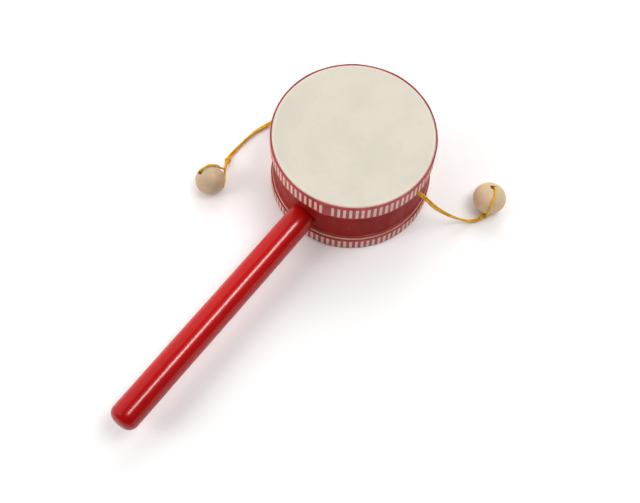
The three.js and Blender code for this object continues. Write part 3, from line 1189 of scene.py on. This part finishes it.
@dataclass
class Striker:
    """One side's cord, knot, loop and bead.

    The lay is the part of a turn that the cord's two strands start at, and the length that
    one whole turn of them takes.
    """

    side: Side
    knot_centre: Point
    knot_turn: float
    bore_direction: Point
    bead_diameter: float
    bead_length: float
    wood: BareWood
    bead_centre: Point
    lay: tuple[float, float]
    route: Sequence[Point]
    loop: Sequence[Point]
    strand_diameter: float = 1.12 * MM
    closeness: float = 0.94
    slack: float = 0.03
    slack_run: tuple[float, float] = (6 * MM, 30 * MM)
    floor_gap: float = 0.02 * MM
    floor_blend: float = 0.12 * MM
    facet_loss: float = 0.03 * MM
    ply_pitch: float = 3.6 * MM
    knot_length: float = 4.9 * MM
    knot_end: float = 0.55 * MM
    knot_width: float = 0.29 * MM
    knot_reach: float = 2.8
    knot_height: float = 0.64 * MM
    knot_radius: float = 0.66 * MM
    knot_lobes: float = 0.13
    knot_winding: float = MM / 0.9
    knot_share: float = 0.55
    bore_diameter: float = 2.5 * MM
    mouth_diameter: float = 3.0 * MM
    mouth_stretch: float = 1.25
    mouth_depth: float = 0.7 * MM
    mouth_direction: Point = (1.0, 0.17, 0.0)
    bore_shade: float = 0.8
    bead_facets: int = 96

    def strand_radius(self, turn: np.ndarray, run: np.ndarray) -> np.ndarray:
        """A two-ply strand: its radius rises and falls twice a turn, and winds."""
        winding = 2 * np.pi * run / self.ply_pitch
        return self.strand_diameter / 2 * (0.95 + 0.05 * np.cos(2 * turn - winding))

    def knot_axis(self) -> np.ndarray:
        """The knot's long axis, from the bead towards the drum or the other way."""
        angle = math.radians(self.knot_turn)
        return np.array([-math.sin(angle), math.cos(angle), 0.0])

    def into_knot(self, path: np.ndarray) -> np.ndarray:
        """Carries a path's end into the knot, a little over halfway to its middle."""
        end = path[-1]
        target = end + (np.array(self.knot_centre) - end) * self.knot_share
        share = np.linspace(0.0, 1.0, 6)[1:, None]
        return np.concatenate([path, end + (target - end) * share])

    def rest(self, path: np.ndarray) -> np.ndarray:
        """Keeps a strand's line above the floor, by a smooth form of the larger of two heights."""
        least = self.strand_diameter / 2 + self.floor_gap
        above = path[:, 2] - least
        lifted = least + (above + np.sqrt(above**2 + self.floor_blend**2)) / 2
        return np.stack([path[:, 0], path[:, 1], lifted], axis=-1)

    def build(self) -> list[bpy.types.Object]:
        """Builds and dresses the side's four pieces.

        Returns:
            The cord, knot, loop and bead pieces.
        """
        knot = self._knot()
        loop = self._loop()
        bead = self._bead()
        cord = self._cord([knot, loop])
        return [cord, knot, loop, bead]

    def _cord(self, fittings: Sequence[bpy.types.Object]) -> bpy.types.Object:
        """Two strands laid side by side that turn slowly about the route.

        Args:
            fittings: The knot and the loop at the cord's far end; not used.

        Returns:
            The doubled cord.
        """
        path = self.into_knot(smooth_path(self.route, 0.35 * MM))
        side, other = carried_frames(path)
        run = run_length(path)
        first, pitch = self.lay
        turn = 2 * np.pi * (first + run / pitch)
        apart = self.closeness + self.slack * (1 - smooth_step(run, *self.slack_run))
        offset = 0.5 * self.strand_diameter * apart[:, None]
        reach = np.cos(turn)[:, None] * side + np.sin(turn)[:, None] * other
        strands = [self.rest(path + sign * offset * reach) for sign in (-1, 1)]
        patches = [tube(strand, self.strand_radius, 16) for strand in strands]
        piece = make_piece(f"{self.side.word}_doubled_cord", patches)
        settle(piece, THREAD, f"{self.side.word}_cord")
        LOG.info("%s cord: %.1f mm", self.side.word, run[-1] / MM)
        return piece

    def _knot(self) -> bpy.types.Object:
        """An overhand knot drawn tight.

        Its line is a trefoil, (sin t + 2 sin 2t, cos t - 2 cos 2t, -sin 3t), laid flat
        and drawn out along the cord, and its section is two strands side by side.
        """
        t = np.linspace(0.0, 2 * np.pi, 181)
        line = np.stack([
            np.sin(t) + 2 * np.sin(2 * t),
            np.cos(t) - 2 * np.cos(2 * t),
            -np.sin(3 * t),
        ], axis=-1)
        reach = self.knot_length / 2 - self.knot_end
        line = line * np.array([self.knot_width, reach / self.knot_reach, self.knot_height])
        along = self.knot_axis()
        across = np.array([along[1], -along[0], 0.0])
        turn = np.stack([across, along, [0.0, 0.0, 1.0]])
        path = np.array(self.knot_centre) + line @ turn
        section = self._doubled_section
        piece = make_piece(f"{self.side.word}_overhand_knot", [tube(path, section, 20, False)])
        return settle(piece, THREAD, f"{self.side.word}_knot")

    def _doubled_section(self, turn: np.ndarray, run: np.ndarray) -> np.ndarray:
        """Two lobes, one for each strand, that wind about the knot's line."""
        winding = 2 * turn + run / self.knot_winding
        return self.knot_radius * (1.0 + self.knot_lobes * np.cos(winding))

    def _loop(self) -> bpy.types.Object:
        """One strand from the knot over the bead, through its bore and back."""
        path = self.into_knot(smooth_path(self.loop, 0.3 * MM))
        path = self.into_knot(path[::-1])
        piece = make_piece(f"{self.side.word}_bead_loop", [tube(path, self.strand_radius, 16)])
        return settle(piece, THREAD, f"{self.side.word}_loop")

    def _bead_outline(self, radius: float, squash: float) -> tuple[np.ndarray, int]:
        """The bead's outline: a circle drawn in along the bore, worn mouths and the bore.

        Args:
            radius: The bead's radius.
            squash: Its length over its diameter.

        Returns:
            Closed (radius, height) pairs, and how many of them lie on the outside.
        """
        bore, mouth = self.bore_diameter / 2, self.mouth_diameter / 2
        edge = math.degrees(math.asin(mouth / radius))
        ball = arc((0.0, 0.0), radius, edge - 90, 90 - edge, self.bead_facets) * [1.0, squash]
        share = np.linspace(0.0, 1.0, 9)[1:, None]
        lip = np.array([mouth, ball[-1, 1]]) + np.concatenate([
            (bore - mouth) * np.sin(share * np.pi / 2),
            -self.mouth_depth * (1 - np.cos(share * np.pi / 2)),
        ], axis=1)
        floor = lip[-1, 1]
        wall = np.linspace((bore, floor), (bore, -floor), 8)[1:-1]
        return np.concatenate([ball, lip, wall, lip[::-1] * [1.0, -1.0], ball[:1]]), len(ball)

    def _bead(self) -> bpy.types.Object:
        """A turned bead with an oval, worn mouth at each end of its bore.

        Near the mouth each ring is stretched across by a factor that falls to 1, and stays
        on the bead's outline.
        """
        radius, mouth = self.bead_diameter / 2 - self.facet_loss, self.mouth_diameter / 2
        squash = self.bead_length / self.bead_diameter
        profile, outside = self._bead_outline(radius, squash)
        patch = revolve(profile, self.bead_facets)
        across = np.hypot(patch.points[..., 0], patch.points[..., 1])
        stretch = 1 + (self.mouth_stretch - 1) * (1 - smooth_step(across, mouth, 3 * mouth))
        patch.points[..., 0] *= stretch
        across = np.hypot(patch.points[..., 0], patch.points[..., 1])
        sphere = np.clip(1 - (across / radius) ** 2, 0.0, 1.0)
        outer = np.arange(len(profile))[:, None] < outside
        height = np.sign(patch.points[..., 2]) * radius * squash * np.sqrt(sphere)
        patch.points[..., 2] = np.where(outer, height, patch.points[..., 2])
        patch.points[-1] = patch.points[0]
        patch.unrolled[..., 1] = np.where(outer, 0.0, self.bore_shade)
        axis = np.array(self.bore_direction) / np.linalg.norm(self.bore_direction)
        east = self.mouth_direction - axis * np.dot(axis, self.mouth_direction)
        east = east / np.linalg.norm(east)
        turn = np.stack([east, np.cross(axis, east), axis])
        patch.points = np.array(self.bead_centre) + patch.points @ turn
        piece = make_piece(f"{self.side.word}_wooden_bead", [patch])
        return settle(piece, self.wood, f"{self.side.word}_bead")


LEFT = Striker(
    side=Side.LEFT,
    knot_centre=(-0.0540, -0.0322, 0.0017),
    knot_turn=20.0,
    bore_direction=(-0.61, -0.22, 0.76),
    bead_diameter=14.8 * MM,
    bead_length=14.6 * MM,
    wood=GREY_WOOD,
    bead_centre=(-0.0515, -0.0483, 0.0075),
    lay=(0.408, 71 * MM),
    route=(
        (-0.0358, 0.0010, 0.0273), (-0.0386, 0.0010, 0.0273), (-0.0404, 0.0010, 0.0270),
        (-0.0418, 0.0009, 0.0259), (-0.0430, 0.0007, 0.0225), (-0.0446, 0.0005, 0.0175),
        (-0.0463, 0.0003, 0.0125), (-0.0480, -0.0001, 0.0078), (-0.0498, -0.0008, 0.0038),
        (-0.0513, -0.0022, 0.0014), (-0.0532, -0.0069, 0.0010), (-0.0546, -0.0126, 0.0010),
        (-0.0549, -0.0184, 0.0010), (-0.0550, -0.0241, 0.0010), (-0.0549, -0.0278, 0.0011),
        (-0.0548, -0.0297, 0.0014),
    ),
    loop=(
        (-0.0530, -0.03475, 0.00105), (-0.0526, -0.0356, 0.00105), (-0.05235, -0.0367, 0.0018),
        (-0.0522, -0.0382, 0.0042), (-0.0522, -0.0400, 0.0078), (-0.05225, -0.04125, 0.0112),
        (-0.0529, -0.0430, 0.0136), (-0.0539, -0.0441, 0.0141), (-0.0550, -0.0462, 0.0146),
        (-0.0553, -0.04775, 0.0147), (-0.0558, -0.0487, 0.0144), (-0.0558, -0.04925, 0.0136),
        (-0.05525, -0.0493, 0.0126), (-0.0539, -0.0490, 0.0106), (-0.0515, -0.0483, 0.0075),
        (-0.0490, -0.0473, 0.0046), (-0.0476, -0.0467, 0.0029), (-0.0467, -0.0461, 0.00175),
        (-0.04635, -0.0453, 0.00115), (-0.0466, -0.0442, 0.0009), (-0.0474, -0.0428, 0.0009),
        (-0.0486, -0.0409, 0.0010), (-0.05015, -0.0391, 0.0016), (-0.0511, -0.0376, 0.0026),
        (-0.0519, -0.0363, 0.0031), (-0.0529, -0.03495, 0.0029),
    ),
)
RIGHT = Striker(
    side=Side.RIGHT,
    knot_centre=(0.0661, 0.02385, 0.00165),
    knot_turn=-12.0,
    bore_direction=(-0.071, 0.359, 0.932),
    bead_diameter=16.5 * MM,
    bead_length=15 * MM,
    wood=WARM_WOOD,
    bead_centre=(0.06393, 0.02995, 0.00825),
    lay=(0.476, 133 * MM),
    knot_length=4.5 * MM,
    route=(
        (0.0358, 0.0010, 0.0273), (0.0386, 0.0010, 0.0273), (0.0409, 0.0010, 0.0271),
        (0.0426, 0.0011, 0.0264), (0.0441, 0.0014, 0.0253), (0.0467, 0.0023, 0.0224),
        (0.0493, 0.0038, 0.0188), (0.0516, 0.0060, 0.0147), (0.0538, 0.0085, 0.0104),
        (0.0558, 0.0107, 0.0070), (0.0580, 0.0130, 0.0042), (0.0603, 0.0150, 0.0025),
        (0.0625, 0.0169, 0.0014), (0.0645, 0.0193, 0.00105), (0.0655, 0.0214, 0.0013),
    ),
    loop=(
        (0.0674, 0.02375, 0.0033), (0.0680, 0.02285, 0.0054), (0.0683, 0.0222, 0.0082),
        (0.06805, 0.0226, 0.0109), (0.0679, 0.0241, 0.0136), (0.06755, 0.0257, 0.0150),
        (0.06705, 0.0273, 0.0158), (0.0664, 0.0291, 0.0164), (0.0657, 0.0306, 0.01665),
        (0.06495, 0.03175, 0.0165), (0.0643, 0.0324, 0.0157), (0.0640, 0.0325, 0.0146),
        (0.06393, 0.02995, 0.00825), (0.06445, 0.02765, 0.0026), (0.06475, 0.0271, 0.0014),
        (0.0653, 0.0268, 0.0008), (0.0660, 0.02665, 0.00075), (0.0666, 0.0265, 0.0010),
    ),
)


# The studio


@dataclass
class Studio:
    """The camera at the photograph's angle, a pale floor and soft lights."""

    camera_place: Point = (0.1465, -0.2298, 0.5003)
    azimuth: float = 35.32
    elevation: float = 65.34
    roll: float = 2.85
    focal_pixels: float = 1117.0
    frame_width: float = 640.0
    sensor: float = 36.0
    clip: tuple[float, float] = (0.01, 20.0)
    floor_reach: float = 3.0
    floor_height: float = -0.02 * MM
    aim: Vector = field(default_factory=lambda: Vector((0.0, -0.04, 0.02)))

    def camera(self) -> None:
        """Makes the scene's camera."""
        data = bpy.data.cameras.new("camera")
        data.sensor_width = self.sensor
        data.lens = self.focal_pixels * self.sensor / self.frame_width
        data.clip_start, data.clip_end = self.clip
        azimuth, elevation = math.radians(self.azimuth), math.radians(self.elevation)
        east, north = math.cos(azimuth), math.sin(azimuth)
        flat, rise = math.cos(elevation), math.sin(elevation)
        back = Vector((north * flat, -east * flat, rise))
        level = Vector((east, north, 0.0))
        upright = back.cross(level)
        roll = math.radians(self.roll)
        right = math.cos(roll) * level + math.sin(roll) * upright
        up = back.cross(right)
        turn = Matrix((right, up, back)).transposed().to_4x4()
        made = bpy.data.objects.new("camera", data)
        made.matrix_world = Matrix.Translation(self.camera_place) @ turn
        bpy.context.scene.collection.objects.link(made)
        bpy.context.scene.camera = made

    def floor(self) -> None:
        """Makes the floor, just under the drum."""
        corner = np.linspace(-self.floor_reach, self.floor_reach, 9)
        x, y = np.meshgrid(corner, corner)
        points = np.stack([x, y, np.full_like(x, self.floor_height)], axis=-1)
        made = make_piece("floor", [Patch(points, points[..., :2] / MM)])
        if made.data.polygons[0].normal.z < 0:
            made.data.flip_normals()
        PaleFloor("pale_floor").dress(made)

    def lamp(
        self,
        name: str,
        place: Point,
        sizes: tuple[float, float],
        power: float,
        mirrored: bool = False,
        lighting: bool = True,
    ) -> None:
        """Makes a soft rectangular light that looks at the drum.

        Args:
            name: The light's name.
            place: Where it stands.
            sizes: Its sides in metres, across and then along the handle.
            power: Its power in watts.
            mirrored: Whether glossy surfaces show its reflection.
            lighting: Whether it lights matt surfaces.
        """
        data = bpy.data.lights.new(name, "AREA")
        data.shape, data.energy = "RECTANGLE", power
        data.size, data.size_y = sizes
        made = bpy.data.objects.new(name, data)
        made.location = place
        made.rotation_mode = "QUATERNION"
        back = (Vector(place) - self.aim).normalized()
        across = Vector((0.0, 1.0, 0.0)).cross(back).normalized()
        turned = Matrix((across, back.cross(across), back)).transposed()
        made.rotation_quaternion = turned.to_quaternion()
        made.visible_glossy = mirrored
        made.visible_diffuse = lighting
        bpy.context.scene.collection.objects.link(made)

    def world(self, strength: float) -> None:
        """Gives the scene an even pale surrounding."""
        made = bpy.data.worlds.new("pale_room")
        made.use_nodes = True
        given = {"Color": (1.0, 1.0, 1.0), "Strength": strength}
        Graph(made.node_tree).fill(made.node_tree.nodes["Background"], given)
        made.cycles_visibility.glossy = False
        bpy.context.scene.world = made

    def build(self) -> None:
        """Makes the whole studio."""
        self.camera()
        self.floor()
        self.lamp("streak", (0.34, 0.19, 0.95), (0.22, 0.5), 9.0, mirrored=True, lighting=False)
        self.lamp("above", (0.33, 0.15, 0.95), (0.4, 0.55), 4.0)
        self.lamp("far_left", (-0.55, 1.0, 1.0), (0.9, 0.9), 7.8)
        self.lamp("far_right", (0.45, 1.05, 1.1), (0.9, 0.9), 3.8)
        self.lamp("near_front", (-0.75, -1.0, 0.9), (0.9, 0.6), 6.4)
        self.lamp("left", (-1.3, -0.25, 0.75), (2.4, 2.4), 17.5, mirrored=True)
        self.world(0.24)
        view = bpy.context.scene.view_settings
        view.view_transform = "Standard"
        view.look = "None"
        LOG.info("studio ready")


def main() -> None:
    """Builds the studio, then every piece in order."""
    logging.basicConfig(level=logging.INFO, format="%(name)s %(message)s")
    Studio().build()
    LEFT.build()
    RIGHT.build()
    Shell().build()
    Head(End.UPPER).build()
    Head(End.LOWER).build()
    Tape(End.UPPER, seam_degrees=19.0, bar_high=8.9).build()
    Tape(End.LOWER, seam_degrees=205.0, bar_high=7.5).build()
    Handle().build()


if __name__ == "__main__":
    main()
